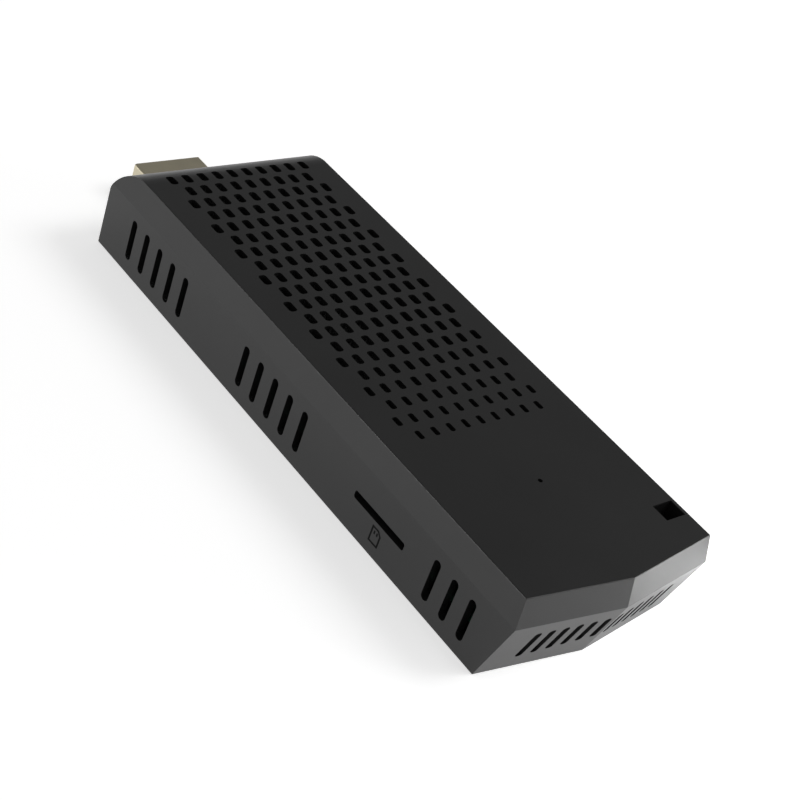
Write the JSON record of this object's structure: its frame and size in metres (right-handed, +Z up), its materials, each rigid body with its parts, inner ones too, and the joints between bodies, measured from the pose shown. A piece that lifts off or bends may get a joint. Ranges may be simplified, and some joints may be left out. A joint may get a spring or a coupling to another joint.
{
  "type": "hdmi stick computer",
  "caption": "Stick computer in a flat vented case with a faceted nose, a display plug at one end, ports along one side, a card slit and a tether eye.",
  "frame": {"origin": "on the base plane, under the middle of the whole outline, display plug included", "axes": "+X to the port side, +Y along the case towards the display plug, +Z up out of the vented top"},
  "size_m": [0.0398, 0.1258, 0.0172],
  "materials": {
    "case_plastic": "fine matte grain",
    "key_plastic": "smooth matte",
    "plug_nickel": "warm nickel plate",
    "port_steel": "bright nickel plate",
    "contact_gold": "gold plate",
    "port_plastic": "moulded",
    "board_laminate": "solder mask",
    "chip_black": "moulded",
    "chip_carrier": "solder mask",
    "ferrite": "pressed powder",
    "can_metal": "tin plate",
    "ceramic": "fired",
    "antenna_ceramic": "fired",
    "pad_silicone": "soft",
    "sink_aluminium": "black anodised",
    "spacer_brass": "turned",
    "screw_steel": "black zinc",
    "plunger_plastic": "moulded",
    "led_lens": "gloss",
    "pipe_clear": "clear moulded"
  },
  "bodies": {
    "case": {"top_shell": "case_plastic", "bottom_shell": "case_plastic", "case_screws": "screw_steel", "main_board": "board_laminate", "board_screws": "screw_steel", "processor": "chip_carrier", "memory_chips": "chip_black", "storage_chip": "chip_black", "power_chip": "chip_black", "power_inductors": "ferrite", "clock_crystals": "can_metal", "board_capacitors": "ceramic", "wireless_module": "can_metal", "chip_antenna": "antenna_ceramic", "thermal_pad": "pad_silicone", "heat_sink": "sink_aluminium", "sink_spacers": "spacer_brass", "sink_screws": "screw_steel", "plug_shell": "plug_nickel", "plug_insulator": "port_plastic", "plug_contacts": "contact_gold", "usb_port_a_shell": "port_steel", "usb_port_a_tongue": "port_plastic", "usb_port_a_contacts": "contact_gold", "usb_port_b_shell": "port_steel", "usb_port_b_tongue": "port_plastic", "usb_port_b_contacts": "contact_gold", "power_port_shell": "port_steel", "power_port_tongue": "port_plastic", "power_port_contacts": "contact_gold", "card_socket_base": "port_plastic", "card_socket_cover": "port_steel", "card_socket_contacts": "contact_gold", "power_switch_body": "can_metal", "status_led": "led_lens", "light_pipe": "pipe_clear"},
    "power_key": {"power_button": "key_plastic", "power_switch_plunger": "plunger_plastic"},
    "card_carriage": {"card_slider": "port_plastic"}
  },
  "joints": [
    {"name": "power_button_press", "type": "slide", "parent": "case", "child": "power_key", "axis": [-1, 0, 0], "range_m": [0, 0.0004], "stiffness_N_per_m": 500},
    {"name": "card_slider_push", "type": "slide", "parent": "case", "child": "card_carriage", "axis": [1, 0, 0], "range_m": [0, 0.0012], "stiffness_N_per_m": 300}
  ]
}
